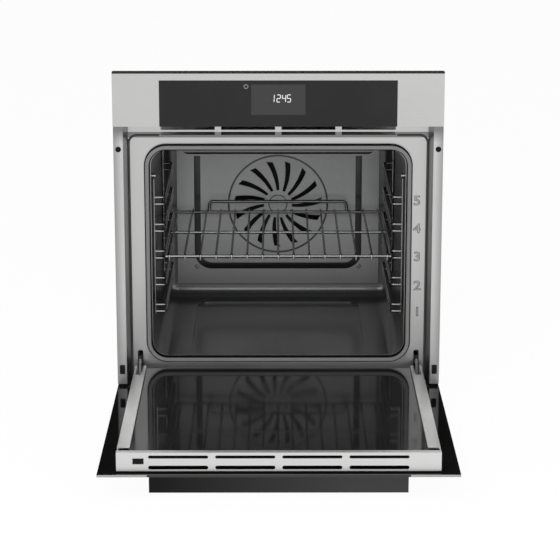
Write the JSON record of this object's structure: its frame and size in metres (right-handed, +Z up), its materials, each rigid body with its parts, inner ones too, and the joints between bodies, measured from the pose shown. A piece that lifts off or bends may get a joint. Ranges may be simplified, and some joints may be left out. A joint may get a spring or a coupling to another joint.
{
  "type": "wall oven",
  "caption": "Built-in electric wall oven with a drop-down glass door, wire shelf on side racks, fan cover, touch display and cooling louver.",
  "frame": {"origin": "centre of the casing's base, on the cabinet shelf it stands on", "axes": "+X to the right as seen from the front, +Y into the cabinet, +Z up; stored with the door open"},
  "size_m": [0.595, 1.0328, 0.6393],
  "materials": {
    "brushed_steel": "brushed stainless steel",
    "black_glass": "black-backed tempered glass",
    "oven_glass": "heat-reflecting tempered glass",
    "clear_glass": "clear lamp glass",
    "display": "dark display panel",
    "black_plastic": "moulded black plastic",
    "board": "circuit board",
    "gasket": "grey woven seal",
    "enamel": "dark grey enamel on steel",
    "chrome_wire": "chromed wire",
    "element": "dark sheathed heating tube",
    "bright_steel": "plain steel",
    "galvanised": "galvanised sheet steel",
    "aluminium": "mill-finish aluminium",
    "wool": "mineral wool",
    "hinge_steel": "dark spring steel",
    "handle_metal": "dark satin metal"
  },
  "bodies": {
    "oven": {"air_duct": "galvanised", "base_panel": "galvanised", "blower_housing": "galvanised", "blower_motor": "galvanised", "bottom_element": "element", "cable_gland": "black_plastic", "casing_screws": "bright_steel", "control_board": "board", "control_deck": "galvanised", "display_glass": "black_glass", "display_module": "display", "door_gasket": "gasket", "fan_cover": "enamel", "fan_cover_screws": "chrome_wire", "fan_motor": "galvanised", "fascia_carrier": "black_plastic", "fascia_panel": "brushed_steel", "front_frame": "brushed_steel", "grill_apron": "enamel", "grill_element": "element", "hinge_arm_left": "hinge_steel", "hinge_arm_right": "hinge_steel", "hinge_receiver_left": "galvanised", "hinge_receiver_right": "galvanised", "insulation": "wool", "lamp_housing": "galvanised", "lamp_lens": "clear_glass", "louver_plate": "brushed_steel", "oven_cavity": "enamel", "rack_studs": "chrome_wire", "rear_panel": "galvanised", "ring_element": "element", "side_panel_left": "galvanised", "side_panel_right": "galvanised", "side_rack_left": "chrome_wire", "side_rack_right": "chrome_wire", "side_trim_left": "brushed_steel", "side_trim_right": "brushed_steel", "temperature_probe": "bright_steel", "terminal_block": "black_plastic", "top_cover": "galvanised"},
    "door": {"door_outer_glass": "black_glass", "door_mid_glass": "oven_glass", "door_inner_glass": "oven_glass", "door_rail_left": "brushed_steel", "door_rail_right": "brushed_steel", "door_top_rail": "brushed_steel", "door_bottom_rail": "brushed_steel", "door_handle": "handle_metal", "handle_posts": "bright_steel", "hinge_pins": "bright_steel", "hinge_springs": "hinge_steel", "spring_seats": "hinge_steel"},
    "shelf": {"wire_shelf": "chrome_wire"},
    "hot_air_fan": {"convection_fan": "galvanised"},
    "cooling_rotor": {"blower_rotor": "aluminium"},
    "lock_left": {"hinge_lock_left": "bright_steel"},
    "lock_right": {"hinge_lock_right": "bright_steel"},
    "rod_left": {"hinge_rod_left": "bright_steel"},
    "rod_right": {"hinge_rod_right": "bright_steel"}
  },
  "joints": [
    {"name": "door_hinge", "type": "hinge", "parent": "oven", "child": "door", "pos_m": [0, -0.288, 0.0192], "axis": [-1, 0, 0], "range_deg": [0, 90]},
    {"name": "shelf_slide", "type": "slide", "parent": "oven", "child": "shelf", "axis": [0, 1, 0], "range_m": [-0.25, 0]},
    {"name": "hot_air_fan_spin", "type": "hinge", "parent": "oven", "child": "hot_air_fan", "pos_m": [0, 0.171, 0.2505], "axis": [0, 1, 0], "continuous": true},
    {"name": "cooling_rotor_spin", "type": "hinge", "parent": "oven", "child": "cooling_rotor", "pos_m": [0, -0.1335, 0.507], "axis": [1, 0, 0], "continuous": true},
    {"name": "lock_left_flip", "type": "hinge", "parent": "oven", "child": "lock_left", "pos_m": [-0.257, -0.27, 0.044], "axis": [-1, 0, 0], "range_deg": [-120, 0]},
    {"name": "lock_right_flip", "type": "hinge", "parent": "oven", "child": "lock_right", "pos_m": [0.257, -0.27, 0.044], "axis": [-1, 0, 0], "range_deg": [-120, 0]},
    {"name": "rod_left_slide", "type": "slide", "parent": "door", "child": "rod_left", "axis": [0, -1, 0], "range_m": [0, 0.015]},
    {"name": "rod_right_slide", "type": "slide", "parent": "door", "child": "rod_right", "axis": [0, -1, 0], "range_m": [0, 0.015]}
  ],
  "couplings": [
    {"joint": "rod_left_slide", "follows": "door_hinge", "m_per_rad": 0.0095483},
    {"joint": "rod_right_slide", "follows": "door_hinge", "m_per_rad": 0.0095483}
  ]
}
